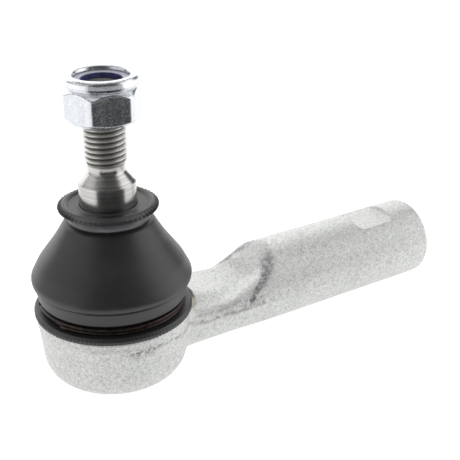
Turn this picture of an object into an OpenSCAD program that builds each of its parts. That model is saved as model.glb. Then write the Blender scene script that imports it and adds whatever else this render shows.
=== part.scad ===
/* [Ball joint] */
// Diameter of the ball on the stud
ball_d = 20; // [18:0.5:24]
// Running clearance between the ball and its seats
ball_gap = 0.05; // [0.03:0.01:0.1]
// Tilt that the stud can reach away from the middle, in any direction
swing_deg = 26; // [20:1:28]
// Radial wall of the plastic seats round the ball
seat_wall = 5; // [4.5:0.5:7]

/* [Housing head] */
// Wall of the land that the boot bead grips
land_wall = 2.5; // [2:0.5:4]
// Height of that land above the shoulder for the boot flange
land_h = 6; // [4.5:0.5:7]
// Width of the shoulder for the boot flange
shoulder_w = 4.7; // [4:0.1:6]
// Height of that shoulder above the ball centre
seat_z = 7; // [6:0.5:9]
// How much smaller the head's diameter is at its foot, from the forging draft
head_draft = 2.8; // [1:0.2:4]
// Radius of the rounded corner round the foot of the head
foot_fillet = 7; // [4:0.5:9]

/* [Housing shank] */
// Distance from the ball centre to the end of the shank
reach = 114.8; // [100:0.2:150]
// Diameter of the shank
shank_d = 26; // [21:0.5:28]
// Clearance round the boot flange where it is let into the neck
recess_gap = 1.1; // [0.5:0.1:3]
// Depth of that recess below the shoulder
recess_depth = 2; // [0:0.1:2.5]
// How far the flattened top of the neck lies below the top of the shank
neck_drop = 10; // [6:0.2:11]
// How much narrower the neck is than the shank
neck_waist = 0.8; // [0.4:0.2:5]
// Length of the flattened neck between the head and the ramp
neck_len = 20.2; // [16:0.2:28]
// How much higher the neck is where it meets the head
neck_rise = 3; // [0:0.1:4]
// Length over which that rise falls away
neck_rise_run = 12; // [3:0.5:13]
// Length of the ramp from the neck up to the round shank
ramp_run = 10; // [8:1:20]
// Depth of each of the two spanner flats
flat_depth = 1.9; // [1:0.1:2.5]
// Length of the spanner flats
flat_len = 15.5; // [8:0.5:20]
// Distance from the flats to the end of the shank
flat_setback = 11.4; // [6:0.2:20]
// Minor diameter of the internal thread in the shank (M16 x 1.5)
tie_thread_minor_d = 14.38; // [10.4:0.01:14.38]
// Depth of one flank of that thread, which sets the lead-in chamfer
tie_thread_flank = 0.81; // [0.5:0.01:1]
// Depth of the threaded hole
tie_thread_depth = 58; // [30:1:60]

/* [Stud] */
// Nominal thread diameter of the stud (M12)
stud_thread_d = 12; // [10:0.5:14.5]
// Pitch of the stud thread
stud_pitch = 1.5; // [1.25:0.25:1.75]
// Length of the thread
stud_thread_len = 22.0; // [18:0.1:28]
// Depth of the relief groove below the thread crests
relief_depth = 0.8; // [0.6:0.1:1.5]
// Length of the relief groove
relief_h = 2.2; // [1:0.1:3]
// Step from the thread out to the ground collar
collar_step = 2; // [1:0.5:3]
// Height of the collar that stands out of the boot
collar_show = 6; // [3:0.1:12]
// Height of the shoulder cone above the collar
cone_h = 3.1; // [2:0.1:4]
// Diameter of the neck between the ball and the collar
stud_neck_d = 11.2; // [10:0.2:11.4]

/* [Lock nut] */
// Wall from the thread out to the flats of the nut
nut_wall = 3.5; // [3:0.5:4.5]
// Overall height of the nut with its collar
nut_h = 12.6; // [12.2:0.2:14]
// Height of the hexagon
nut_hex_h = 9.3; // [6:0.1:9.4]
// Height of the underside of the nut above the end of the relief groove
nut_lift = 12.3; // [11:0.1:16]
// Radial clearance between the nut and the crests of the stud thread
nut_gap = 0.05; // [0.03:0.01:0.1]

/* [Dust boot] */
// Height of the top face of the boot above the ball centre
boot_top = 40.3; // [39:0.1:50]
// How far the boot bulges out past the head
boot_bulge = 0.9; // [0.4:0.1:3]
// Height of the widest part of the boot above the shoulder
belly_rise = 11; // [10:0.2:12.6]
// How far the bottom flange reaches past the head
low_flange_lap = 0.7; // [0.2:0.1:1.5]
// Width of the serrated top flange round the collar
top_flange_w = 6; // [5:0.2:8]
// Wall of the boot
boot_wall = 1.6; // [1.2:0.1:2]
// Wire diameter of the lower retaining ring
wire_d = 1.0; // [0.8:0.1:1.2]

/* [Hidden] */
$fn = 96;
cut = 0.5;                         // how far a cutting tool runs past a face
fit = 0.05;                        // gap between neighbours that seat on each other

ball_r = ball_d / 2;
seat_r = ball_r + ball_gap;
socket_r = ball_r + seat_wall;
land_r = socket_r + land_wall;
head_r = land_r + shoulder_w;
shank_r = shank_d / 2;
neck_w = shank_d - neck_waist;
neck_top = shank_r - neck_drop;
ramp_start = head_r + neck_len;
ramp_end = ramp_start + ramp_run;

// the stack under the ball, from the ball down: seat floor, spring, plate, rolled lip
spring_t = 0.9;
spring_cone = 0.35;
plate_t = 1.5;
lip_h = 0.9;
lip_in = 1.8;
seat_floor = -(ball_r - 0.4);
spring_floor = seat_floor - fit - spring_t - spring_cone;
plate_top = spring_floor - fit;
plate_floor = plate_top - plate_t;
head_floor = plate_floor - lip_h;
seat_split = 0.3;                  // half of the gap between the two seats

// the opening that the stud swings in
ceiling = seat_z + 1;
land_top = seat_z + land_h;
neck_r = stud_neck_d / 2;
// radius that the tilted neck reaches at height z, with a margin
function swing_r(z) = z * tan(swing_deg) + neck_r / cos(swing_deg) + 0.3;
seat_edge_z = ball_r / 2;
seat_edge_r = swing_r(seat_edge_z);

// the stud
thread_r = stud_thread_d / 2;
collar_r = thread_r + collar_step;
collar_top = boot_top + collar_show;
relief_r = thread_r - relief_depth;
// the neck flares out to the collar only above the land, even at full tilt
flare_foot = (land_top + 0.4 + neck_r * sin(swing_deg)) / cos(swing_deg);
collar_foot = flare_foot + 3.5;
relief_floor = collar_top + cone_h;
thread_floor = relief_floor + relief_h;
thread_top = thread_floor + stud_thread_len;
thread_root_r = thread_r - 0.61 * stud_pitch;
thread_turns = floor(stud_thread_len / stud_pitch);

// the nut
nut_floor = thread_floor + nut_lift;
nut_bore_r = thread_r + nut_gap;
nut_across = stud_thread_d + 2 * nut_wall;
nut_corner_r = nut_across / 2 / cos(30);
nut_ring_r = nut_across / 2 + 0.6;
insert_r = nut_ring_r - 2.3;
nut_turned = -10;                  // which way the corners of the hexagon face
insert_h = 3;
insert_floor = nut_floor + nut_h - insert_h - 0.6;

// the boot
boot_gap = 0.06;
bead_r = land_r + boot_gap;
boot_r = head_r + boot_bulge;
low_flange_r = head_r + low_flange_lap;
top_flange_r = collar_r + top_flange_w;
belly_z = seat_z + belly_rise;
groove_r = land_r + 2.5;
groove_floor = seat_z + 2;
groove_top = groove_floor + 2.5 * wire_d;
crease_z = belly_z - 1.6;
crease_r = boot_r - 0.3;
neck_groove_r = collar_r + 3.2;
neck_groove_floor = boot_top - 4.7;
neck_groove_top = boot_top - 2.3;
belly_arc = 8;

// points on an arc from angle a0 to a1 round (x, z)
function arc(x, z, r, a0, a1, n = 10) =
    [for (i = [0:n]) let (a = a0 + (a1 - a0) * i / n) [x + r * cos(a), z + r * sin(a)]];

// outline of the turned and forged head, from its foot up to the boot land
module head_blank() {
    foot_r = head_r - head_draft / 2;
    rotate_extrude() polygon(concat(
        [[0, head_floor]],
        arc(foot_r - foot_fillet, head_floor + foot_fillet, foot_fillet, -90, 0),
        [[head_r, seat_z - 0.6], [head_r - 0.5, seat_z],
         [land_r, seat_z], [land_r, land_top - 0.6], [land_r - 0.6, land_top], [0, land_top]]));
}

// the round shank and the flattened neck that joins it to the head
module shank_blank() {
    intersection() {
        rotate([0, 90, 0]) cylinder(r = shank_r, h = ramp_end);
        translate([0, -neck_w / 2, -shank_r]) cube([ramp_end, neck_w, shank_d]);
    }
    translate([ramp_start + 2, 0, 0]) rotate([0, 90, 0])
        cylinder(r1 = neck_w / 2, r2 = shank_r, h = ramp_run - 2);
    translate([ramp_end, 0, 0]) rotate([0, 90, 0]) cylinder(r = shank_r, h = reach - ramp_end - 1.2);
    translate([reach - 1.2, 0, 0]) rotate([0, 90, 0])
        cylinder(r1 = shank_r, r2 = shank_r - 1.2, h = 1.2);
}

// what is milled or forged away above the neck: the flat top and the ramp
module neck_cut() {
    rotate([90, 0, 0]) translate([0, 0, -shank_d])
        linear_extrude(2 * shank_d) polygon([
            [0, neck_top + neck_rise], [head_r + 2, neck_top + neck_rise],
            [head_r + 2 + neck_rise_run, neck_top], [ramp_start, neck_top], [ramp_end, shank_r + 0.1],
            [ramp_end, shank_d], [0, shank_d]]);
}

// the two spanner flats near the end of the shank
module spanner_flats() {
    for (side = [0, 180])
        rotate([side, 0, 0])
            translate([reach - flat_setback - flat_len, -shank_r, shank_r - flat_depth])
                cube([flat_len, shank_d, shank_r]);
}

// socket for the seats, the spring and the plate, open at the top for the stud
module socket() {
    translate([0, 0, plate_floor]) cylinder(r = socket_r, h = ceiling - plate_floor);
    translate([0, 0, head_floor - cut]) cylinder(r = socket_r - lip_in, h = lip_h + 2 * cut);
    top = land_top + cut;
    translate([0, 0, ceiling - cut])
        cylinder(r1 = swing_r(ceiling - cut), r2 = swing_r(top), h = top - ceiling + cut);
}

// blind threaded hole for the tie rod, with its drill point and lead-in
module tie_thread_hole() {
    minor_r = tie_thread_minor_d / 2;
    lead = tie_thread_flank + 0.3;
    translate([reach - tie_thread_depth, 0, 0]) rotate([0, 90, 0])
        cylinder(r = minor_r, h = tie_thread_depth + cut);
    translate([reach - tie_thread_depth - 3, 0, 0]) rotate([0, 90, 0])
        cylinder(r1 = 0.4, r2 = minor_r, h = 3);
    translate([reach - lead, 0, 0]) rotate([0, 90, 0])
        cylinder(r1 = minor_r, r2 = minor_r + lead + cut, h = lead + cut);
}

module housing() {
    color("gainsboro") difference() {
        union() {
            head_blank();
            difference() {
                shank_blank();
                neck_cut();
                translate([0, 0, seat_z - recess_depth])
                    cylinder(r = low_flange_r + recess_gap, h = shank_d);
            }
        }
        spanner_flats();
        socket();
        tie_thread_hole();
    }
}

// steel plate that closes the socket from below
module closure_plate() {
    color("silver") rotate_extrude() polygon([
        [0, plate_floor + 0.4], [6, plate_floor + 0.4], [7, plate_floor], [socket_r - fit, plate_floor],
        [socket_r - fit, plate_top], [0, plate_top]]);
}

// coned spring washer that keeps the seats pressed on the ball
module preload_spring() {
    inner = 5.5;
    outer = socket_r - 1.2;
    color("slategray") rotate_extrude() polygon([
        [inner, spring_floor + spring_cone], [outer, spring_floor],
        [outer, spring_floor + spring_t], [inner, spring_floor + spring_cone + spring_t]]);
}

// lower plastic seat, open at the pole of the ball
module pressure_seat() {
    color("ivory") difference() {
        translate([0, 0, seat_floor]) cylinder(r = socket_r - fit, h = -seat_floor - seat_split);
        sphere(r = seat_r);
    }
}

// upper plastic seat, which carries the ball and leaves the stud room to swing
module ball_seat() {
    color("ivory") difference() {
        translate([0, 0, seat_split]) cylinder(r = socket_r - fit, h = ceiling - fit - seat_split);
        sphere(r = seat_r);
        translate([0, 0, seat_edge_z])
            cylinder(r1 = seat_edge_r, r2 = swing_r(ceiling), h = ceiling - seat_edge_z);
    }
}

// one thread crest: rounded-off trapezoid from root to crest and back, starting at height z
function crest(z) = [
    [thread_root_r, z], [thread_r, z + 0.42 * stud_pitch],
    [thread_r, z + 0.55 * stud_pitch], [thread_root_r, z + 0.97 * stud_pitch]];

// ball, neck, collar, shoulder cone and threaded end in one forging
module ball_stud() {
    color("lightgray") {
        sphere(r = ball_r);
        rotate_extrude() polygon(concat(
            [[0, 0], [neck_r, 0], [neck_r, flare_foot], [collar_r, collar_foot],
             [collar_r, collar_top], [relief_r, relief_floor], [relief_r, thread_floor]],
            [for (i = [0:thread_turns - 1]) each crest(thread_floor + i * stud_pitch)],
            [[thread_root_r, thread_top - 0.6], [thread_root_r - 0.6, thread_top], [0, thread_top]]));
    }
}

// outer outline of the boot, from the foot of its bottom flange up to its top face
function boot_outside() = concat(
    [[low_flange_r, seat_z + fit], [low_flange_r - 0.2, groove_floor - 0.1],
     [groove_r, groove_floor], [groove_r, groove_top], [groove_r + 0.9, groove_top + 0.6],
     [crease_r, crease_z]],
    arc(boot_r - belly_arc, belly_z, belly_arc, 0, 40),
    [[neck_groove_r + 1.4, neck_groove_floor - 1], [neck_groove_r, neck_groove_floor],
     [neck_groove_r, neck_groove_top], [top_flange_r - 0.6, neck_groove_top],
     [top_flange_r, neck_groove_top + 0.6], [top_flange_r - 0.2, boot_top]]);

// the inner outline, from the top bead down to the bottom bead
function boot_inside() = concat(
    [[collar_r + boot_gap, boot_top], [collar_r + boot_gap, neck_groove_floor - 0.6],
     [neck_groove_r, neck_groove_floor - 1.4 * boot_wall]],
    arc(boot_r - belly_arc, belly_z, belly_arc - boot_wall, 40, 0),
    [[crease_r - boot_wall, crease_z], [bead_r + 0.6, land_top + 0.4], [bead_r, land_top - 0.4],
     [bead_r, seat_z + fit]]);

module dust_boot() {
    color("dimgray") rotate_extrude() polygon(concat(boot_outside(), boot_inside()));
}

// two turns of wire that clamp the boot on the land of the head
module lower_boot_ring() {
    color("black") for (turn = [0, 1])
        rotate_extrude() translate([groove_r + fit + wire_d / 2,
                                    groove_floor + 0.1 + wire_d / 2 + turn * (wire_d + fit)])
            circle(d = wire_d, $fn = 24);
}

// band that holds the boot's upper bead on the collar of the stud
module upper_boot_ring() {
    inner = neck_groove_r + fit;
    color("gray") rotate_extrude() polygon([
        [inner, neck_groove_floor + 0.1], [inner + 0.7, neck_groove_floor + 0.4],
        [inner + 0.7, neck_groove_top - 0.4], [inner, neck_groove_top - 0.1]]);
}

// cone that takes the corners off the hexagon, pointing up or down
module nut_chamfer(z, up) {
    h = (nut_corner_r - nut_across / 2) * tan(30) + 0.12;
    depth = 4 * h;
    inner = nut_corner_r + 0.2 - depth / tan(30);
    translate([0, 0, z]) mirror([0, 0, up ? 0 : 1]) translate([0, 0, -h]) difference() {
        cylinder(r = nut_corner_r + 2, h = depth);
        translate([0, 0, -0.01]) cylinder(r1 = nut_corner_r + 0.2, r2 = max(inner, 0.5), h = depth + 0.02);
    }
}

// hexagon with a washer face below and a crimped collar above
module lock_nut() {
    hex_floor = nut_floor + 0.4;
    hex_top = nut_floor + nut_hex_h;
    nut_top = nut_floor + nut_h;
    color("lightsteelblue") difference() {
        union() {
            translate([0, 0, nut_floor]) cylinder(r = nut_across / 2 - 0.3, h = 1);
            difference() {
                translate([0, 0, hex_floor]) rotate([0, 0, nut_turned])
                    cylinder(r = nut_corner_r, h = hex_top - hex_floor, $fn = 6);
                nut_chamfer(hex_top, true);
                nut_chamfer(hex_floor, false);
            }
            rotate_extrude() polygon(concat(
                [[0, nut_floor + 1], [nut_ring_r - 0.9, nut_floor + 1], [nut_ring_r - 0.9, hex_top + 0.2],
                 [nut_ring_r, hex_top + 0.9]],
                arc(nut_ring_r - 1.5, nut_top - 1.5, 1.5, 0, 90, 6),
                [[0, nut_top]]));
        }
        translate([0, 0, nut_floor - cut]) cylinder(r = nut_bore_r, h = nut_h + 2 * cut);
        translate([0, 0, nut_floor - cut])
            cylinder(r1 = nut_bore_r + 0.9 + cut, r2 = nut_bore_r, h = 0.9 + cut);
        translate([0, 0, insert_floor - fit]) cylinder(r = insert_r + fit, h = nut_h);
    }
}

// locking insert under the crimped edge of the nut
module nut_insert() {
    color("midnightblue") difference() {
        translate([0, 0, insert_floor]) cylinder(r = insert_r, h = insert_h);
        translate([0, 0, insert_floor - cut]) cylinder(r = nut_bore_r, h = insert_h + 2 * cut);
    }
}

housing();
closure_plate();
preload_spring();
pressure_seat();
ball_seat();
ball_stud();
dust_boot();
lower_boot_ring();
upper_boot_ring();
lock_nut();
nut_insert();
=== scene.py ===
import math

import bpy
import numpy as np
import openvdb
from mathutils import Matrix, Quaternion, Vector


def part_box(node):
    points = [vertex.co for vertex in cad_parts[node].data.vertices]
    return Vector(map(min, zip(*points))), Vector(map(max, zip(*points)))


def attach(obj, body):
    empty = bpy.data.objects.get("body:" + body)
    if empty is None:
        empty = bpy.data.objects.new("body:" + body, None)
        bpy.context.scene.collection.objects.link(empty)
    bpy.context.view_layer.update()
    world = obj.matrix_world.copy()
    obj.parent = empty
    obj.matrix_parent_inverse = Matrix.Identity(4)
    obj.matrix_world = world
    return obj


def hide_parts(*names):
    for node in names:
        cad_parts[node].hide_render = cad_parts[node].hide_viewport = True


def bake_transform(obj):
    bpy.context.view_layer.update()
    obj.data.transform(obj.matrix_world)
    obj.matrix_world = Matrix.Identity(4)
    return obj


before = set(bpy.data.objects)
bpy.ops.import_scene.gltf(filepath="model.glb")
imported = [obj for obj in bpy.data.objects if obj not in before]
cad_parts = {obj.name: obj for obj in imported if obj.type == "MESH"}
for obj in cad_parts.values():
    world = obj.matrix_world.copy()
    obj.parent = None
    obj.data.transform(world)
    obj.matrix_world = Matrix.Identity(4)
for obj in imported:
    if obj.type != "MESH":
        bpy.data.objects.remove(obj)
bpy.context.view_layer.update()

MM = 0.001

# ---------------------------------------------------------------- sizes, in millimetres, from the frame


def low(node, axis):
    """Lowest coordinate of a CAD node along an axis, in millimetres."""
    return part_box(node)[0][axis] / MM


def high(node, axis):
    """Highest coordinate of a CAD node along an axis, in millimetres."""
    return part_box(node)[1][axis] / MM


ball_r = -low("ball_stud", 2)
thread_top = high("ball_stud", 2)
reach = high("housing", 0)
head_floor = low("housing", 2)
head_r = high("housing", 1)
shoulder_z = low("dust_boot", 2) - 0.05
boot_r = high("dust_boot", 1)
boot_top = high("dust_boot", 2)
land_top = shoulder_z + 6
land_r = head_r - 4.7
socket_r = high("ball_seat", 1) + 0.05
socket_floor = low("closure_plate", 2)
ceiling = shoulder_z + 1
nut_floor = low("lock_nut", 2)
nut_top = high("lock_nut", 2)
insert_floor = low("nut_insert", 2)
insert_top = high("nut_insert", 2)
insert_r = high("nut_insert", 1)
ring_floor = low("lower_boot_ring", 2)
ring_r = high("lower_boot_ring", 1) - 0.5
band_floor = low("upper_boot_ring", 2)
band_top = high("upper_boot_ring", 2)

shank_r = 13.0
neck_top = 3.0
ramp_start = 42.4
ramp_end = 52.4
ramp_slope = math.atan2(shank_r - neck_top, ramp_end - ramp_start)
front_sweep = 1.2             # how much sooner the ramp starts on the -Y side
rim_r = head_r + 0.7          # the boot's bottom flange
recess_r = rim_r + 1.3
collar_r = 8.0
collar_top = boot_top + 6
relief_floor = collar_top + 3.1
thread_floor = relief_floor + 2.2
groove_r = 5.15
thread_r = 6.0
pitch = 1.5
root_r = thread_r - 0.61 * pitch
neck_r = 5.6
flange_r = 14.0               # the boot's top flange


# ---------------------------------------------------------------- shader maths


class Signal:
    """One output of a node. Arithmetic on it adds Math nodes."""

    def __init__(self, graph, socket):
        self.graph = graph
        self.socket = socket

    def math(self, operation, *values):
        return self.graph.node("ShaderNodeMath", {"operation": operation}, dict(enumerate(values)))

    def __add__(self, other):
        return self.math("ADD", self, other)

    def __radd__(self, other):
        return self.math("ADD", other, self)

    def __sub__(self, other):
        return self.math("SUBTRACT", self, other)

    def __rsub__(self, other):
        return self.math("SUBTRACT", other, self)

    def __mul__(self, other):
        return self.math("MULTIPLY", self, other)

    def __rmul__(self, other):
        return self.math("MULTIPLY", other, self)

    def __pow__(self, other):
        return self.math("POWER", self, other)

    def __abs__(self):
        return self.math("ABSOLUTE", self)

    def clamp(self):
        return self.graph.node("ShaderNodeClamp", {}, {"Value": self})


class Graph:
    """A tree of shader nodes."""

    def __init__(self, tree):
        self.tree = tree

    def node(self, kind, settings, sockets, output=0):
        """Adds a node: its settings first, then the values or links of its sockets."""
        made = self.tree.nodes.new(kind)
        for key, value in settings.items():
            if key == "stops":
                self.set_stops(made.color_ramp, value)
            else:
                setattr(made, key, value)
        for key, value in sockets.items():
            self.feed(made.inputs[key], value)
        return Signal(self, made.outputs[output])

    def set_stops(self, ramp, stops):
        for place, _ in stops[2:]:
            ramp.elements.new(place)
        for element, (place, colour) in zip(ramp.elements, stops):
            element.position = place
            element.color = (*colour, 1)

    def feed(self, socket, value):
        if isinstance(value, Signal):
            self.tree.links.new(value.socket, socket)
        elif isinstance(value, tuple) and socket.type == "RGBA":
            socket.default_value = (*value, 1)
        else:
            socket.default_value = value


class Finish(Graph):
    """One procedural material. Constants go straight on to the shader's sockets."""

    def __init__(self, name, **constants):
        self.material = bpy.data.materials.new(name)
        self.material.use_nodes = True
        super().__init__(self.material.node_tree)
        self.shader = self.tree.nodes["Principled BSDF"]
        self.shade(**constants)

    def shade(self, **links):
        """Feeds signals or values to the shader's sockets."""
        for socket, value in links.items():
            self.feed(self.shader.inputs[socket.replace("_", " ")], value)
        return self.material

    def place(self, stretch=(1, 1, 1)):
        """Position on the piece, in metres, stretched along each axis."""
        spot = self.node("ShaderNodeTexCoord", {}, {}, "Object")
        return self.node("ShaderNodeMapping", {}, {"Vector": spot, "Scale": stretch})

    def axis(self, name):
        """One coordinate of the position, in millimetres."""
        spot = self.node("ShaderNodeTexCoord", {}, {}, "Object")
        return self.node("ShaderNodeSeparateXYZ", {}, {"Vector": spot}, name) * 1000

    def noise(self, scale, detail=3.0, rough=0.6, stretch=(1, 1, 1), warp=0.0):
        sockets = {"Vector": self.place(stretch), "Scale": scale, "Detail": detail,
                   "Roughness": rough, "Distortion": warp}
        return self.node("ShaderNodeTexNoise", {}, sockets, "Fac")

    def cells(self, scale, stretch=(1, 1, 1)):
        """Distance to the nearest of many scattered points."""
        sockets = {"Vector": self.place(stretch), "Scale": scale}
        return self.node("ShaderNodeTexVoronoi", {}, sockets, "Distance")

    def ramp(self, value, *stops):
        return self.node("ShaderNodeValToRGB", {"stops": stops}, {"Fac": value})

    def mix(self, share, first, second):
        """Mixes two colours."""
        return self.node("ShaderNodeMix", {"data_type": "RGBA"}, {0: share, 6: first, 7: second}, 2)

    def step(self, value, start, end):
        """0 below start, 1 above end, smooth between them."""
        sockets = {"Value": value, "From Min": start, "From Max": end}
        return self.node("ShaderNodeMapRange", {"interpolation_type": "SMOOTHSTEP"}, sockets)

    def bump(self, height, depth, strength=1.0):
        sockets = {"Height": height, "Distance": depth, "Strength": strength}
        return self.node("ShaderNodeBump", {}, sockets)


# ---------------------------------------------------------------- finishes


def blasted_zinc():
    """Shot-blasted forging under zinc plating: pale, matt, with a fine sparkle painted in as pale glints,
    dark marks along the edges and painted shade where the ramp rolls over.
    """
    f = Finish("blasted_zinc")
    grain = f.noise(1900, 1, 0.5)
    coarse = f.noise(800, 2, 0.6)
    cloud = f.noise(60, 2, 0.5)
    pits = 1 - f.step(f.cells(1100), 0.08, 0.24)
    # Painted highlight: pale glint spots mixed into the colour; the same spots are also smoother.
    painted_glint = f.step(f.noise(2600, 0, 0.5), 0.62, 0.72)
    marks_and_shade = dark_marks_and_shade(f)
    tone = grain * 0.60 + coarse * 0.40 - pits * 0.10 + cloud * 0.10 - 0.04
    colour = f.ramp(tone.clamp(), (0.28, (0.37, 0.375, 0.37)), (0.42, (0.57, 0.58, 0.565)),
                    (0.54, (0.69, 0.70, 0.68)), (0.70, (0.82, 0.825, 0.82)))
    # Dark grey for the marks and for the painted shade where the ramp rolls over.
    marked_and_shaded = f.mix(marks_and_shade, colour, (0.15, 0.15, 0.16))
    bright = f.mix(painted_glint * 0.35, marked_and_shaded, (0.96, 0.96, 0.96))
    rough = 0.46 + grain * 0.14 - painted_glint * 0.14
    relief = f.bump(grain * 0.5 + coarse * 0.5 - pits * 0.3, 0.00014, 0.55)
    return f.shade(Base_Color=bright, Metallic=0.55, Roughness=rough, Normal=relief)


def dark_marks_and_shade(f):
    """Where the skin is darker: along the parting line, where the neck rolls over and in a patch on the
    front, with painted shade where the ramp rolls over.
    """
    x, y, z = f.axis("X"), f.axis("Y"), f.axis("Z")
    speckle = f.step(f.noise(700, 2, 0.7), 0.36, 0.60)
    front = f.step(y * -1, 2, 8)
    line = f.step(x, 4, 26) * -3.6 + 3.4 + (f.noise(90, 2, 0.6) - 0.5) * 1.4
    parting = (1 - f.step(abs(z - line), 0.1, 1.0)) * (1 - f.step(x, 40, 56)) * f.step(x, -10, -5) * front
    rim = f.step(neck_top - z, 0.2, 0.8) * (1 - f.step(neck_top - z, 2.0, 3.4))
    rim = rim * f.step(x, 24, 30) * (1 - f.step(x, 43, 48))
    # A darker patch on the front of the head.
    front_patch = (1 - f.step(abs(x + 1.5), 1.0, 6.0)) * (1 - f.step(abs(z - 2.6), 0.2, 2.2)) * front
    marks = (parting * 0.55 + rim * (f.step(x, 34, 42) * 0.3 + 0.26) + front_patch * 0.65) * speckle
    # Painted shade: the band where the ramp rolls over is darkened, speckled, and less so higher up.
    roll = ramp_roll_shade(f, x, y, z) * (speckle * 0.55 + 0.35) * (1 - f.step(z, 7, 14) * 0.45)
    return (marks + roll).clamp()


def ramp_roll_shade(f, x, y, z):
    """Painted shade: the band where the ramp rolls over into the round shank."""
    along = x - ramp_start + f.step(y * -1, 5, 12) * front_sweep
    fillet = (1 - f.step(z, 3.0, 7.5)) * 0.8
    under = along * math.sin(ramp_slope) - (z - neck_top) * math.cos(ramp_slope) + fillet
    band = f.step(under, 0.0, 0.6) * (1 - f.step(under, 1.0, 2.8))
    return band * f.step(x, 34, 41) * (1 - f.step(x, 49, 58)) * f.step(z, 0.5, 2.5)


def milled_zinc():
    """Plated faces left by a cutter: the shank's end and thread, the socket and the boot's shoulder."""
    f = Finish("milled_zinc", IOR=1.6)
    lines = f.noise(260, 2, 0.6, (1, 9, 9))
    grain = f.noise(1300, 2, 0.7)
    colour = f.ramp((lines * 0.5 + grain * 0.5).clamp(),
                    (0.3, (0.52, 0.53, 0.53)), (0.7, (0.82, 0.83, 0.83)))
    relief = f.bump(lines * 0.6 + grain * 0.5, 0.00008, 0.5)
    return f.shade(Base_Color=colour, Metallic=0.75, Roughness=0.34 + grain * 0.16, Normal=relief)


def bare_recess():
    """Turned wall round the boot flange, with a light oil stain."""
    f = Finish("bare_recess")
    rings = f.noise(300, 2, 0.6, (1, 1, 12))
    stain = f.noise(160, 2, 0.6)
    colour = f.ramp((rings * 0.5 + stain * 0.5).clamp(),
                    (0.3, (0.38, 0.36, 0.30)), (0.7, (0.58, 0.56, 0.48)))
    return f.shade(Base_Color=colour, Metallic=0.3, Roughness=0.38 + stain * 0.2,
                   Normal=f.bump(rings, 0.00008, 0.4))


def turned_steel():
    """Turned and ground stud: fine rings, and oil held in the thread roots."""
    f = Finish("turned_steel")
    rings = f.noise(700, 3, 0.65, (0.05, 0.05, 2.2))
    smear = f.noise(120, 3, 0.6, (1, 1, 0.35))
    x, y, z = f.axis("X"), f.axis("Y"), f.axis("Z")
    radius = (x * x + y * y) ** 0.5
    threaded = f.step(z, thread_floor - 0.6, thread_floor + 0.4)
    oil = threaded * (1 - f.step(radius, root_r + 0.1, thread_r - 0.15))
    steel = f.ramp((rings * 0.6 + smear * 0.4).clamp(),
                   (0.3, (0.40, 0.385, 0.375)), (0.7, (0.66, 0.65, 0.64)))
    plated = f.mix(threaded * 0.7, steel, (0.72, 0.715, 0.69))
    end = f.step(z, thread_top - 0.25, thread_top - 0.1) * 0.85
    sawn = f.mix(end, plated, (0.085, 0.076, 0.068))
    colour = f.mix(oil * 0.75, sawn, (0.13, 0.12, 0.105))
    rough = 0.16 + rings * 0.10 + smear * 0.06 + threaded * 0.10 + oil * 0.2 + end * 0.2
    return f.shade(Base_Color=colour, Metallic=1.0, Roughness=rough, Normal=f.bump(rings, 0.00005, 0.5))


def bright_zinc():
    """Bright zinc on the nut, with a grainy plating and light tool marks."""
    f = Finish("bright_zinc")
    drawn = f.noise(500, 3, 0.6, (1, 1, 0.12))
    plate = f.noise(1500, 2, 0.7)
    nicks = 1 - f.step(f.cells(420, (1, 1, 0.6)), 0.04, 0.11)
    colour = f.ramp((drawn * 0.4 + plate * 0.6).clamp(),
                    (0.3, (0.56, 0.58, 0.61)), (0.65, (0.80, 0.82, 0.85)))
    worn = f.mix(nicks * 0.3, colour, (0.95, 0.96, 0.98))
    rough = 0.15 + drawn * 0.08 + plate * 0.14 + nicks * 0.2
    relief = f.bump(drawn * 0.3 + plate * 0.6 - nicks * 0.6, 0.00008, 0.35)
    return f.shade(Base_Color=worn, Metallic=1.0, Roughness=rough, Normal=relief)


def insert_nylon():
    """Nylon of the locking insert: milky on top, and painted shade in dark blue down the hole."""
    f = Finish("insert_nylon", IOR=1.5)
    mottle = f.noise(500, 3, 0.6)
    x, y = f.axis("X"), f.axis("Y")
    outside = f.step((x * x + y * y) ** 0.5, thread_r - 0.45, thread_r - 0.15)
    # Painted shade: the hole's wall takes a much darker blue than the top.
    blue = f.ramp(mottle, (0.3, (0.037, 0.041, 0.128)), (0.7, (0.102, 0.111, 0.285)))
    milky = f.ramp(mottle, (0.3, (0.42, 0.42, 0.52)), (0.7, (0.56, 0.56, 0.64)))
    return f.shade(Base_Color=f.mix(outside, blue, milky), Roughness=0.28 + mottle * 0.2,
                   Normal=f.bump(mottle, 0.00005, 0.4))


def boot_rubber():
    """Moulded rubber: satin black, with faint bloom and a few pale specks."""
    f = Finish("boot_rubber", IOR=1.6)
    skin = f.noise(1200, 3, 0.7)
    bloom = f.noise(70, 4, 0.6, warp=0.4)
    flow = f.noise(160, 2, 0.5, (1, 1, 3))
    speck = (1 - f.step(f.cells(330), 0.045, 0.075)) * f.step(f.noise(210, 1, 0.5), 0.60, 0.66)
    colour = f.ramp((bloom * 0.7 + flow * 0.3).clamp(),
                    (0.35, (0.013, 0.013, 0.014)), (0.70, (0.023, 0.023, 0.025)))
    dusty = f.mix(speck * 0.6, colour, (0.24, 0.235, 0.22))
    rough = 0.30 + bloom * 0.16 + skin * 0.08 + speck * 0.2
    relief = f.bump(skin * 0.5 + flow * 0.3 + speck * 0.5, 0.00006, 0.6)
    return f.shade(Base_Color=dusty, Roughness=rough, Normal=relief)


def band_plastic():
    """Smooth grey band round the boot's neck."""
    f = Finish("band_plastic", IOR=1.5)
    flow = f.noise(240, 2, 0.5, (1, 1, 4))
    colour = f.ramp(flow, (0.3, (0.060, 0.061, 0.065)), (0.7, (0.105, 0.106, 0.112)))
    return f.shade(Base_Color=colour, Roughness=0.20 + flow * 0.14, Normal=f.bump(flow, 0.00004, 0.4))


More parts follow.
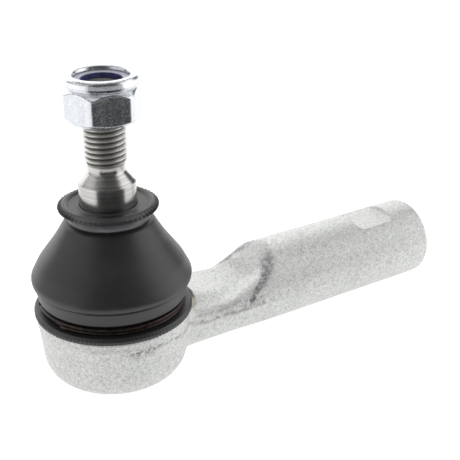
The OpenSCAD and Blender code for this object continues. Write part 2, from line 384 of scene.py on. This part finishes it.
def ring_wire():
    """Oiled and phosphated spring wire."""
    f = Finish("ring_wire")
    drawn = f.noise(900, 3, 0.6)
    colour = f.ramp(drawn, (0.3, (0.016, 0.012, 0.011)), (0.7, (0.060, 0.043, 0.038)))
    return f.shade(Base_Color=colour, Metallic=0.8, Roughness=0.26 + drawn * 0.2,
                   Normal=f.bump(drawn, 0.00004, 0.5))


def seat_plastic():
    """Greased acetal of the ball seats."""
    f = Finish("seat_plastic", IOR=1.48)
    grease = f.noise(130, 3, 0.6)
    colour = f.ramp(grease, (0.4, (0.80, 0.78, 0.70)), (0.62, (0.62, 0.55, 0.36)))
    return f.shade(Base_Color=colour, Roughness=0.45 - f.step(grease, 0.45, 0.6) * 0.25,
                   Normal=f.bump(f.noise(700), 0.00005, 0.4))


def spring_steel():
    """Tempered spring washer."""
    f = Finish("spring_steel")
    scale = f.noise(220, 3, 0.6)
    colour = f.ramp(scale, (0.35, (0.07, 0.075, 0.10)), (0.65, (0.20, 0.18, 0.16)))
    return f.shade(Base_Color=colour, Metallic=0.9, Roughness=0.28 + scale * 0.2,
                   Normal=f.bump(scale, 0.00005, 0.4))


def plated_sheet():
    """Zinc-plated pressed sheet of the closure plate."""
    f = Finish("plated_sheet")
    rolled = f.noise(260, 3, 0.6, (1, 6, 1))
    spangle = f.noise(90, 2, 0.5)
    colour = f.ramp((rolled * 0.5 + spangle * 0.5).clamp(),
                    (0.3, (0.48, 0.49, 0.50)), (0.7, (0.74, 0.75, 0.76)))
    return f.shade(Base_Color=colour, Metallic=0.9, Roughness=0.30 + spangle * 0.2,
                   Normal=f.bump(rolled, 0.00005, 0.5))


def pale_floor():
    """Plain pale studio floor, which glows more far out, where the lights don't reach."""
    f = Finish("pale_floor", Roughness=0.7, Emission_Strength=1.0)
    x, y = f.axis("X"), f.axis("Y")
    far = f.step(x * x + y * y, 350 ** 2, 560 ** 2)
    glow = f.mix(far, (0.68, 0.68, 0.68), (1.0, 1.0, 1.0))
    return f.shade(Base_Color=(0.6, 0.6, 0.6), Emission_Color=glow)


# ---------------------------------------------------------------- mesh tools


def make_mesh(name, points, faces, materials, sharp=math.radians(35)):
    """A mesh object from points in millimetres, shaded smooth except at sharp edges."""
    mesh = bpy.data.meshes.new(name)
    mesh.from_pydata([tuple(p) for p in np.asarray(points) * MM], [], faces)
    mesh.update()
    for material in materials:
        mesh.materials.append(material)
    piece = bpy.data.objects.new(name, mesh)
    bpy.context.collection.objects.link(piece)
    mesh.shade_smooth()
    mesh.set_sharp_from_angle(angle=sharp)
    return piece


def rounded(corners, steps=6):
    """An outline in (radius, height) whose corners (radius, height, rounding) become arcs."""
    count = len(corners)
    line = []
    for i, (r, z, size) in enumerate(corners):
        here = np.array([r, z])
        if size <= 0 or i in (0, count - 1):
            line.append(here)
            continue
        before = np.array(corners[i - 1][:2]) - here
        after = np.array(corners[i + 1][:2]) - here
        before_len, after_len = np.linalg.norm(before), np.linalg.norm(after)
        before, after = before / before_len, after / after_len
        half = math.acos(np.clip(before @ after, -1, 1)) / 2
        reach_back = min(size / math.tan(half), 0.49 * before_len, 0.49 * after_len)
        radius = reach_back * math.tan(half)
        centre = here + (before + after) / np.linalg.norm(before + after) * radius / math.sin(half)
        start, end = here + before * reach_back - centre, here + after * reach_back - centre
        sweep = math.pi - 2 * half
        for k in range(steps + 1):
            a = sweep * k / steps
            spot = (start * math.sin(sweep - a) + end * math.sin(a)) / math.sin(sweep)
            line.append(centre + spot)
    return line


def arc(r, z, size, start, end, steps=12):
    """Points on an arc round (r, z) from one angle to another, in degrees."""
    angles = np.radians(np.linspace(start, end, steps + 1))
    return [(r + size * math.cos(a), z + size * math.sin(a)) for a in angles]


def even(line, spacing):
    """The same outline with points no further apart than the spacing."""
    out = [np.array(line[0], float)]
    for p in line[1:]:
        p = np.array(p, float)
        parts = max(1, math.ceil(np.linalg.norm(p - out[-1]) / spacing))
        start = out[-1]
        out += [start + (p - start) * k / parts for k in range(1, parts + 1)]
    return out


def lathe(line, segments=128, closed=False, shape=None):
    """Points and faces of an outline turned about Z. An outline that isn't closed ends on the axis.

    shape(angles, radius, height, index) may give each ring its own radii."""
    angles = np.arange(segments) * 2 * math.pi / segments
    inner = line if closed else line[1:-1]
    rings = []
    for index, (r, z) in enumerate(inner):
        radii = np.full(segments, float(r)) if shape is None else shape(angles, r, z, index)
        rings.append(np.stack([radii * np.cos(angles), radii * np.sin(angles), np.full(segments, z)], 1))
    points = np.concatenate(rings)
    faces = []
    last = len(inner) if closed else len(inner) - 1
    for i in range(last):
        a, b = i * segments, (i + 1) % len(inner) * segments
        for k in range(segments):
            n = (k + 1) % segments
            faces.append((a + k, a + n, b + n, b + k))
    if not closed:
        points = np.concatenate([points, [[0, 0, line[0][1]], [0, 0, line[-1][1]]]])
        foot, tip, top = len(points) - 2, len(points) - 1, (len(inner) - 1) * segments
        faces += [(foot, (k + 1) % segments, k) for k in range(segments)]
        faces += [(tip, top + k, top + (k + 1) % segments) for k in range(segments)]
    return points, faces


def tube(path, radius, sides=12):
    """A round wire along a path, with domed ends."""
    path = np.asarray(path, float)
    ahead = np.gradient(path, axis=0)
    ahead /= np.linalg.norm(ahead, axis=1)[:, None]
    up = np.array([0.0, 0.0, 1.0])
    points, faces = [], []
    angles = np.arange(sides) * 2 * math.pi / sides
    for i, (spot, way) in enumerate(zip(path, ahead)):
        side = np.cross(way, up)
        side /= np.linalg.norm(side)
        rise = np.cross(side, way)
        points += [spot + radius * (math.cos(a) * side + math.sin(a) * rise) for a in angles]
        if i:
            a, b = (i - 1) * sides, i * sides
            faces += [(a + k, a + (k + 1) % sides, b + (k + 1) % sides, b + k) for k in range(sides)]
    for i, sign in ((0, -1), (len(path) - 1, 1)):
        points.append(path[i] + ahead[i] * radius * 0.6 * sign)
        cap, ring = len(points) - 1, i * sides
        for k in range(sides):
            face = (cap, ring + k, ring + (k + 1) % sides)
            faces.append(face if sign > 0 else face[::-1])
    return np.array(points), [tuple(reversed(face)) for face in faces]


def finish_piece(piece, body, slot, *nodes):
    """Puts a piece on its body and hides the CAD nodes that it stands for. The slot is not used."""
    if nodes:
        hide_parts(*nodes)
    if body:
        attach(piece, body)
    return piece


# ---------------------------------------------------------------- forged housing


def round_union(a, b, size):
    """Two distance fields joined with a fillet."""
    inside = np.hypot(np.maximum(size - a, 0), np.maximum(size - b, 0))
    return np.maximum(size, np.minimum(a, b)) - inside


def round_common(a, b, size):
    """What two distance fields share, with a rounded edge."""
    outside = np.hypot(np.maximum(size + a, 0), np.maximum(size + b, 0))
    return np.minimum(-size, np.maximum(a, b)) + outside


def smooth(value, start, end):
    """0 below start, 1 above end, smooth between them."""
    t = np.clip((value - start) / (end - start), 0, 1)
    return t * t * (3 - 2 * t)


def head_field(x, y, z):
    """Distance to the bowl-shaped head, its shoulder and the land for the boot."""
    rho = np.hypot(x, y)
    wall = rho - (head_r - 1.4 * smooth(-z, -shoulder_z, -head_floor) ** 0.8)
    bowl = round_common(wall, head_floor - z, 7.0)
    bowl = round_common(bowl, z - shoulder_z, 0.5)
    land = round_common(rho - land_r, z - land_top, 0.6)
    return np.minimum(bowl, np.maximum(land, head_floor + 8 - z))


def arm_field(x, y, z):
    """Distance to the neck, the ramp and the round shank. Neck and ramp lie a little lower in front."""
    waist = 0.35 * (1 - smooth(x, ramp_start - 6, ramp_end))
    round_bar = np.hypot(y, z) - (shank_r - waist)
    rise = 3.0 * (1 - smooth(x, recess_r - 3, recess_r + 17)) * (1 - 0.5 * smooth(np.abs(y), 3, 11))
    level = z - neck_top - rise + 0.8 * smooth(-y, 4, 11)
    along = x - ramp_start + front_sweep * smooth(-y, 5, 12)
    ramp = (z - neck_top) * math.cos(ramp_slope) - along * math.sin(ramp_slope)
    below = round_union(level, ramp, 3.6 + 5.4 * smooth(-y, 3, 11))
    roll = 1.7 + 2.2 * smooth(x, ramp_start - 7, ramp_start) - 2.9 * smooth(x, ramp_start + 6, ramp_end + 1)
    bar = round_common(round_bar, below, roll)
    return round_common(round_common(bar, x - reach, 1.3), -x, 1.0)


def parting_line(x, y, z):
    """Trimmed flash where the forging dies met: a low ragged ridge round the widest section."""
    line_z = 4.0 - 5.2 * smooth(x, 4, 26)
    ragged = 0.75 + 0.25 * np.sin(1.9 * x + 2 * np.sin(0.7 * x)) * np.sin(0.9 * y + 1.3)
    fade = 1 - 0.8 * smooth(x, ramp_start, ramp_end + 6)
    return 0.26 * ragged * fade * np.exp(-(((z - line_z) / 0.75) ** 2))


def forged_blank(spacing=0.5):
    """The forging as points and faces, before anything is machined."""
    margin = 2.0
    start = np.array([-head_r - margin, -head_r - margin, head_floor - margin])
    stop = np.array([reach + margin, head_r + margin, land_top + margin])
    axes = [np.arange(a, b, spacing, dtype=np.float32) for a, b in zip(start, stop)]
    x, y, z = np.meshgrid(*axes, indexing="ij", sparse=True)
    fillet = 0.4 + 4.0 * smooth(x, 15, 25)
    field = round_union(head_field(x, y, z), arm_field(x, y, z), fillet) - parting_line(x, y, z)
    moat = np.maximum(np.hypot(x, y) - recess_r, shoulder_z - 2 - z)
    field = np.where(np.hypot(x, y) > rim_r - 0.4, np.maximum(field, -moat), field)
    grid = openvdb.FloatGrid(background=margin)
    grid.copyFromArray(field.astype(np.float32))
    points, _, quads = grid.convertToPolygons(isovalue=0.0, adaptivity=0.0)
    return points * spacing + start, [tuple(int(k) for k in quad) for quad in quads[:, ::-1]]


def flats_tool():
    """The milled steps over and under the shank for a spanner, with the cutter's run-out at each end."""
    length, setback, depth, cutter_r = 15.5, 11.4, 1.9, 2.6
    start, stop, height = reach - setback - length, reach - setback, shank_r - depth
    run_out = arc(stop - cutter_r, height + cutter_r, cutter_r, -90, 0, 6)
    side = run_out + [(stop, shank_r + 4), (start, shank_r + 4)]
    side += arc(start + cutter_r, height + cutter_r, cutter_r, 180, 270, 6)
    upper = extrude_across(side, shank_r + 2)
    lower = (upper[0] * [1, 1, -1], [face[::-1] for face in upper[1]])
    return join_meshes([upper, lower])


def extrude_across(side, half):
    """Points and faces of an outline in (x, z), taken from -half to +half along Y."""
    count = len(side)
    points = [(x, y, z) for y in (-half, half) for x, z in side]
    faces = [(k, (k + 1) % count, count + (k + 1) % count, count + k) for k in range(count)]
    faces = [face[::-1] for face in faces]
    faces += [tuple(range(count)), tuple(reversed(range(count, 2 * count)))]
    return np.array(points, float), faces


def helix_radius(inner, outer, phase, clearance=0.0):
    """Radii of a right-hand thread at each angle and height."""

    def radius(angles, z):
        turn = ((z - phase) / pitch - angles / (2 * math.pi)) % 1.0
        rise = np.clip((0.5 - np.abs(turn - 0.5)) * 2 * 1.25 - 0.08, 0, 1)
        return inner + (outer - inner) * rise + clearance

    return radius


def socket_outline():
    """Room for the seats, the spring and the plate, and the flared opening for the stud."""
    mouth_r = socket_r - 1.8
    lean = math.radians(26)

    def flare(z):
        return z * math.tan(lean) + neck_r / math.cos(lean) + 0.3

    below, above = head_floor - 1, land_top + 1
    return [(0, below), (mouth_r, below), (mouth_r, socket_floor), (socket_r, socket_floor),
            (socket_r, ceiling), (flare(ceiling), ceiling), (flare(above), above), (0, above)]


def tie_thread_tool():
    """The blind hole in the shank with its thread, drill point and lead-in, along +X."""
    minor, depth, flank = 7.19, 58.0, 0.81
    mouth, lead_in = minor + flank + 0.3, 0.6
    line = [(0, -3.5), (minor - 0.1, -0.4), (minor, 0.0)]
    line += [(minor, z) for z in np.arange(0.4, depth - 0.9, pitch / 8)]
    line += [(mouth, depth), (mouth + lead_in, depth + lead_in), (0, depth + lead_in)]
    thread = helix_radius(minor, minor + flank, 0.0)

    def shape(angles, r, z, index):
        if 2.0 < z < depth - 1.0:
            return np.minimum(thread(angles, z), minor + max(0, z - 2.0))
        return np.full(len(angles), r)

    points, faces = lathe(line, 72, shape=shape)
    turned = np.stack([points[:, 2] + reach - depth, points[:, 1], -points[:, 0]], 1)
    return turned, faces


def join_meshes(parts):
    """Several point and face lists as one."""
    points, faces, offset = [], [], 0
    for some_points, some_faces in parts:
        points.append(np.asarray(some_points, float))
        faces += [tuple(k + offset for k in face) for face in some_faces]
        offset += len(some_points)
    return np.concatenate(points), faces


def cut_away(piece, tool):
    """Takes the tool's shape out of the piece. The cut faces get the tool's material."""
    cut = piece.modifiers.new("cut", "BOOLEAN")
    cut.operation = "DIFFERENCE"
    cut.solver = "EXACT"
    cut.object = tool
    cut.material_mode = "TRANSFER"
    done = bpy.data.meshes.new_from_object(piece.evaluated_get(bpy.context.evaluated_depsgraph_get()))
    piece.modifiers.clear()
    old = piece.data
    piece.data = done
    bpy.data.meshes.remove(old)
    bpy.data.objects.remove(tool)


def forged_housing():
    """Head, neck and shank in one forging, with the machined features cut into it."""
    zinc, milled, bare = blasted_zinc(), milled_zinc(), bare_recess()
    points, faces = forged_blank()
    piece = make_mesh("forged_housing", points, faces, [zinc, milled, bare])
    cut_away(piece, make_mesh("flat_tool", *flats_tool(), [zinc]))
    cut_away(piece, make_mesh("socket_tool", *lathe(socket_outline()), [milled]))
    cut_away(piece, make_mesh("thread_tool", *tie_thread_tool(), [milled]))
    mark_machined(piece)
    piece.data.shade_smooth()
    piece.data.set_sharp_from_angle(angle=math.radians(30))
    return finish_piece(piece, "housing", "blasted_zinc", "housing")


def face_vectors(mesh, name):
    """One vector for each face: its centre or its normal."""
    values = np.empty(len(mesh.polygons) * 3)
    mesh.polygons.foreach_get(name, values)
    return values.reshape(-1, 3)


def mark_machined(piece):
    """Gives the end face, the recess wall and the boot's shoulder their own finishes."""
    mesh = piece.data
    x, y, z = (face_vectors(mesh, "center") / MM).T
    rho = np.hypot(x, y)
    names = [material.name for material in mesh.materials]
    slots = np.empty(len(mesh.polygons), dtype=np.int32)
    mesh.polygons.foreach_get("material_index", slots)
    end_face = (x > reach - 0.3) & (face_vectors(mesh, "normal")[:, 0] > 0.9)
    recess = (rho > rim_r - 0.6) & (rho < recess_r + 0.5) & (z > shoulder_z - 2.6) & (x > 12)
    shoulder = (rho < head_r + 0.1) & (z > shoulder_z - 0.3)
    slots[end_face] = names.index("milled_zinc")
    slots[recess] = names.index("bare_recess")
    slots[shoulder] = names.index("milled_zinc")
    mesh.polygons.foreach_set("material_index", slots)


# ---------------------------------------------------------------- stud and nut


def stud():
    """Ball, neck, ground collar, shoulder cone, relief groove and threaded end."""
    flare_foot = 17.6
    ball_top = math.degrees(math.asin(neck_r / ball_r))
    line = arc(0, 0, ball_r, -90, 90 - ball_top, 40)
    line += rounded([
        (neck_r, ball_r * math.cos(math.radians(ball_top)), 0), (neck_r, flare_foot, 2.5),
        (collar_r, flare_foot + 3.5, 0.6), (collar_r, collar_top, 0.22), (5.3, relief_floor, 0.5),
        (groove_r, relief_floor + 0.4, 0.3), (groove_r, thread_floor, 0)])[1:]
    plain = len(line)
    line += [(root_r, z) for z in np.arange(thread_floor + 0.1, thread_top - 0.05, pitch / 14)]
    line += [(root_r - 0.2, thread_top), (root_r - 0.9, thread_top + 0.3), (2.0, thread_top + 0.45),
             (0, thread_top + 0.5)]
    thread = helix_radius(root_r, thread_r, thread_floor)

    def shape(angles, r, z, index):
        if index + 1 < plain or z > thread_top - 0.03:
            return np.full(len(angles), r)
        start = groove_r + max(0, z - thread_floor) * 0.7
        tip = thread_r - 0.9 + (thread_top - z) * 0.9
        return np.minimum(thread(angles, z), min(start, tip))

    points, faces = lathe(line, 120, shape=shape)
    piece = make_mesh("threaded_stud", points, faces, [turned_steel()], math.radians(50))
    return finish_piece(piece, "stud", "ground_steel", "ball_stud")


def lesser(a, b, size):
    """The smaller of two lengths, eased where they are close."""
    share = np.clip(0.5 + 0.5 * (b - a) / size, 0, 1)
    return b + (a - b) * share - size * share * (1 - share)


def hexagon(angles, across, turned, rounding):
    """Radii of a hexagon with slightly rounded corners."""
    flat = across / 2 / np.cos((angles - turned) % (math.pi / 3) - math.pi / 6)
    return lesser(flat, across / 2 / math.cos(math.pi / 6) - rounding, rounding)


def crimped_collar(hex_top, ring, bore):
    """Outline from the top of the hexagon, over the collar and down inside it to the thread."""
    return rounded([
        (ring - 1.05, hex_top, 0), (ring - 1.3, hex_top + 0.02, 0.1), (ring - 1.3, hex_top + 0.3, 0.2),
        (ring - 0.1, hex_top + 0.4, 0.3), (ring, hex_top + 1.2, 1.5), (ring - 0.15, nut_top - 0.75, 0.9),
        (ring - 0.75, nut_top, 0.8), (insert_r, nut_top, 0.8), (insert_r - 0.45, nut_top - 1.2, 0.3),
        (insert_r - 0.05, insert_top - 0.5, 0), (insert_r, insert_floor - 0.05, 0),
        (bore, insert_floor - 0.05, 0)])


def nut_outline(half, hex_floor, hex_top, ring, bore):
    """The nut's whole outline as (radius, height, kind), from the washer face round to the thread."""
    heights = np.concatenate([
        np.arange(hex_floor, hex_floor + 1.4, 0.1), np.arange(hex_floor + 1.4, hex_top - 3.0, 0.5),
        np.arange(hex_top - 3.0, hex_top + 0.001, 0.1)])
    washer = [(bore + 0.9, nut_floor), (half - 0.5, nut_floor), (half - 0.3, nut_floor + 0.12),
              (half - 0.3, hex_floor)]
    thread = np.arange(insert_floor - 0.4, nut_floor + 0.95, -pitch / 10)
    return ([(r, z, "plain") for r, z in washer]
            + [(half / math.cos(math.pi / 6), z, "hex") for z in heights]
            + [(r, z, "plain") for r, z in crimped_collar(hex_top, ring, bore)]
            + [(bore, z, "thread") for z in thread])


def lock_nut():
    """Hexagon with chamfered corners, washer face below, crimped collar above and thread inside."""
    across = 19.0
    turned = math.radians(-10)
    clearance = 0.12
    hex_floor, hex_top = nut_floor + 0.4, nut_floor + 9.3
    ring = across / 2 + 0.6
    thread = helix_radius(root_r, thread_r, thread_floor, clearance)
    line = nut_outline(across / 2, hex_floor, hex_top, ring, thread_r + clearance)

    def shape(angles, r, z, index):
        kind = line[index][2]
        if kind == "thread":
            return np.maximum(thread(angles, z), root_r + 0.1 + max(0, nut_floor + 1.1 - z))
        if kind == "plain":
            return np.full(len(angles), r)
        cone_top = ring - 1.05 + (hex_top - z) / math.tan(math.radians(45))
        cone_foot = across / 2 - 0.35 + (z - hex_floor) / math.tan(math.radians(30))
        return lesser(hexagon(angles, across, turned, 0.4), min(cone_top, cone_foot), 0.25)

    points, faces = lathe([(r, z) for r, z, _ in line], 360, closed=True, shape=shape)
    piece = make_mesh("flanged_lock_nut", points, faces, [bright_zinc()], math.radians(28))
    return finish_piece(piece, "nut", "bright_zinc", "lock_nut")


def nylon_insert():
    """Locking ring of nylon under the crimped edge. The stud's thread bites into its smaller hole."""
    hole = thread_r - 0.55
    crown = insert_top - 0.7
    line = rounded([
        (insert_r - 0.05, insert_floor, 0.1), (insert_r - 0.05, crown, 0.1), (hole + 1.2, crown - 0.02, 1.5),
        (hole, crown - 0.12, 0.3), (hole, insert_floor, 0.3)])
    line.append((insert_r - 0.6, insert_floor))
    points, faces = lathe(line[::-1], 120, closed=True)
    piece = make_mesh("nylon_insert", points, faces, [insert_nylon()])
    return finish_piece(piece, "insert", "insert_nylon", "nut_insert")


# ---------------------------------------------------------------- boot and its rings


def boot_outline():
    """Outside and inside of the boot as one closed outline, from the bottom flange to the bottom bead."""
    groove = ring_r - 0.6
    lip = collar_r + 0.06
    bead = land_r + 0.12
    outside = [
        (rim_r, shoulder_z + 0.08, 0.25), (rim_r + 0.05, shoulder_z + 1.0, 0.4),
        (rim_r - 0.5, shoulder_z + 1.9, 0.5), (groove + 0.2, shoulder_z + 2.1, 0.4),
        (groove, shoulder_z + 2.5, 0.3), (groove, shoulder_z + 4.3, 0.5),
        (groove + 1.4, shoulder_z + 5.2, 0.8), (boot_r - 0.95, shoulder_z + 9.1, 1.2),
        (boot_r - 1.35, shoulder_z + 9.65, 0.15), (boot_r - 0.35, shoulder_z + 9.75, 0.35),
        (boot_r, shoulder_z + 11.4, 2.5), (boot_r - 2.2, shoulder_z + 15.6, 9),
        (boot_r - 6.9, shoulder_z + 22.0, 12),
        (12.5, boot_top - 5.4, 3), (11.25, boot_top - 4.9, 0.4), (11.2, boot_top - 2.1, 0.3),
        (flange_r - 0.5, boot_top - 1.9, 0.3), (flange_r, boot_top - 1.55, 0.25),
        (flange_r, boot_top - 0.75, 0.3), (flange_r - 1.1, boot_top - 0.35, 0.5),
        (12.3, boot_top - 0.02, 0.5), (11.6, boot_top - 0.25, 0.4), (11.0, boot_top - 0.75, 0.4),
        (9.2, boot_top - 0.8, 0.6), (8.5, boot_top - 0.5, 0.3),
        (lip, boot_top - 0.6, 0.2)]
    inside = [
        (lip, boot_top - 5.2, 0.8), (11.6, boot_top - 7.2, 2), (boot_r - 8.4, shoulder_z + 21.6, 8),
        (boot_r - 3.9, shoulder_z + 15.2, 8), (boot_r - 1.7, shoulder_z + 11.4, 3),
        (boot_r - 2.6, shoulder_z + 8.6, 3), (land_r + 0.9, land_top + 0.2, 1.0),
        (bead, land_top - 0.8, 0.4), (bead, shoulder_z + 0.08, 0.2)]
    corners = outside + inside
    return even(rounded(corners + [corners[0]])[:-1], 0.55)


def teeth(angles, count):
    """1 at the tip of each tooth and 0 at its root."""
    return np.abs((angles * count / (2 * math.pi)) % 1.0 - 0.5) * 2


def boot_shape(angles, r, z, index):
    """Serrations on both flanges and a slight unevenness of the moulding."""
    radii = np.full(len(angles), float(r))
    top_edge = smooth(r, flange_r - 1.2, flange_r - 0.6) * smooth(z, boot_top - 1.65, boot_top - 1.15)
    deep = 0.15 + 0.85 * smooth(np.abs(np.cos(angles + math.radians(25))), 0.55, 0.85)
    radii += top_edge * 0.85 * deep * (teeth(angles, 60) - 0.85)
    low_edge = smooth(r, rim_r - 1.2, rim_r - 0.3) * (1 - smooth(z, shoulder_z + 1.3, shoulder_z + 2.0))
    radii -= low_edge * 0.22 * teeth(angles, 120)
    belly = smooth(z, shoulder_z + 6, shoulder_z + 12) * (1 - smooth(z, boot_top - 9, boot_top - 5))
    radii -= belly * (0.10 + 0.06 * np.sin(2 * angles + 0.6) + 0.04 * np.sin(5 * angles + 2))
    return radii


def boot_half(name, points, faces, material):
    """One half of the boot, with only the points that its own faces use."""
    used = sorted({k for face in faces for k in face})
    index = {old: new for new, old in enumerate(used)}
    piece = make_mesh(name, points[used], [tuple(index[k] for k in face) for face in faces], [material])
    return finish_piece(piece, None, "boot_rubber", "dust_boot")


def boot_halves():
    """The rubber boot in two halves that meet at mid height."""
    points, faces = lathe(boot_outline(), 360, closed=True, shape=boot_shape)
    seam_z = shoulder_z + 19.0
    rubber = boot_rubber()
    heights = [points[list(face)].mean(0)[2] for face in faces]
    below = [face for face, z in zip(faces, heights) if z <= seam_z]
    above = [face for face, z in zip(faces, heights) if z > seam_z]
    halves = {}
    for name, chosen in (("boot_lower_half", below), ("boot_upper_half", above)):
        halves[name] = boot_half(name, points, chosen, rubber)
    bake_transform(halves["boot_lower_half"])
    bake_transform(halves["boot_upper_half"])


def wire_ring():
    """Two turns of spring wire round the boot's groove, with both ends bent out."""
    turns, wire = 1.9, 0.5
    start = math.radians(200)
    steps = int(turns * 120)
    path = []
    for i in range(steps + 1):
        a = start + turns * 2 * math.pi * i / steps
        lift = ring_floor + wire + 1.05 * smooth(turns * i / steps, 0.89, 1.0)
        kick = 0.5 * smooth(abs(i / steps - 0.5), 0.485, 0.5)
        path.append(((ring_r + kick) * math.cos(a), (ring_r + kick) * math.sin(a), lift))
    points, faces = tube(path, wire, 12)
    piece = make_mesh("boot_clamp_wire", points, faces, [ring_wire()], math.radians(60))
    return finish_piece(piece, "housing", "ring_wire", "lower_boot_ring")


def neck_band():
    """Smooth band that seats in the groove under the top flange."""
    middle = (band_floor + band_top) / 2
    line = rounded([
        (11.3, band_floor, 0.1), (11.75, band_floor + 0.05, 0.3), (12.0, middle, 1.2),
        (11.75, band_top - 0.05, 0.3), (11.3, band_top, 0.1)])
    line.append((11.26, middle))
    points, faces = lathe(line, 144, closed=True)
    piece = make_mesh("neck_band", points, faces, [band_plastic()])
    return finish_piece(piece, "upper_ring", "ring_band", "upper_boot_ring")


def inner_parts():
    """Finishes for the pieces inside the socket, whose CAD shape is kept."""
    plastic = seat_plastic()
    chosen = {"ball_seat": plastic, "pressure_seat": plastic, "preload_spring": spring_steel(),
              "closure_plate": plated_sheet()}
    for node, material in chosen.items():
        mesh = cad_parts[node].data
        mesh.materials.clear()
        mesh.materials.append(material)


# ---------------------------------------------------------------- studio


def aim(thing, target):
    """Turns a camera or a light towards a point."""
    thing.rotation_mode = "QUATERNION"
    thing.rotation_quaternion = (Vector(target) - thing.location).to_track_quat("-Z", "Y")


def camera():
    """Short telephoto view from above the stud's side, with the shank going away to the right."""
    data = bpy.data.cameras.new("camera")
    data.lens = 72.5
    data.sensor_width = 36
    view = bpy.data.objects.new("camera", data)
    bpy.context.collection.objects.link(view)
    view.location = (-0.1024, -0.2156, 0.1422)
    aim(view, (0.04065, 0.0, 0.02074))
    view.rotation_quaternion = view.rotation_quaternion @ Quaternion((0, 0, 1), math.radians(0.24))
    data.clip_start = 0.01
    bpy.context.scene.camera = view


def softbox(name, place, width, height, glow, mirrored=True):
    """A large rectangular light that shines at the part with an even glow."""
    data = bpy.data.lights.new(name, "AREA")
    data.shape = "RECTANGLE"
    data.size = width
    data.size_y = height
    data.energy = glow * math.pi * width * height
    lamp = bpy.data.objects.new(name, data)
    bpy.context.collection.objects.link(lamp)
    lamp.location = place
    lamp.visible_camera = False
    lamp.visible_glossy = mirrored
    aim(lamp, (0.03, 0, 0.02))


def flat_sheet(name, points, material):
    """A flat stage piece from its corners, in metres."""
    mesh = bpy.data.meshes.new(name)
    mesh.from_pydata(points, [], [tuple(range(len(points)))])
    mesh.materials.append(material)
    sheet = bpy.data.objects.new(name, mesh)
    bpy.context.collection.objects.link(sheet)
    return sheet


def dark_card():
    """Black card on the floor in front, which polished metal mirrors. The camera doesn't see it."""
    ground = (head_floor + 1) * MM
    inner, outer = 0.085, 0.7
    turns = [math.radians(a) for a in range(-160, -47, 4)]
    rim = [(outer * math.cos(a), outer * math.sin(a), ground) for a in turns]
    rim += [(inner * math.cos(a), inner * math.sin(a), ground) for a in reversed(turns)]
    card = flat_sheet("dark_card", rim, Finish("dark_card", Base_Color=(0.02, 0.02, 0.02)).material)
    card.visible_camera = False
    card.visible_shadow = False
    card.visible_diffuse = False


def surroundings():
    """White to the camera, and dim to the part, so that the softboxes and the floor light it."""
    world = bpy.data.worlds.new("studio")
    world.use_nodes = True
    graph = Graph(world.node_tree)
    seen = graph.node("ShaderNodeBackground", {}, {"Color": (1.0, 1.0, 1.0)})
    dim = graph.node("ShaderNodeBackground", {}, {"Color": (0.08, 0.08, 0.08)})
    to_camera = graph.node("ShaderNodeLightPath", {}, {}, "Is Camera Ray")
    sky = graph.node("ShaderNodeMixShader", {}, {0: to_camera, 1: dim, 2: seen})
    graph.feed(graph.tree.nodes["World Output"].inputs["Surface"], sky)
    bpy.context.scene.world = world


def studio():
    """Pale floor, four softboxes, a soft fill and a black card."""
    ground = head_floor * MM
    flat_sheet("floor", [(-3, -3, ground), (3, -3, ground), (3, 3, ground), (-3, 3, ground)], pale_floor())
    softbox("left_softbox", (-0.65, 0.12, 0.30), 0.9, 0.7, 0.7)
    softbox("right_softbox", (0.62, -0.30, 0.30), 0.7, 0.7, 1.45)
    softbox("top_softbox", (0.05, 0.12, 0.70), 0.9, 0.7, 0.9)
    softbox("back_softbox", (0.20, 0.68, 0.38), 1.6, 0.9, 1.5)
    softbox("fill", (-0.25, -0.55, 0.25), 0.8, 0.5, 0.5, mirrored=False)
    dark_card()
    surroundings()
    bpy.context.scene.view_settings.view_transform = "Standard"


forged_housing()
stud()
lock_nut()
nylon_insert()
boot_halves()
wire_ring()
neck_band()
inner_parts()
camera()
studio()
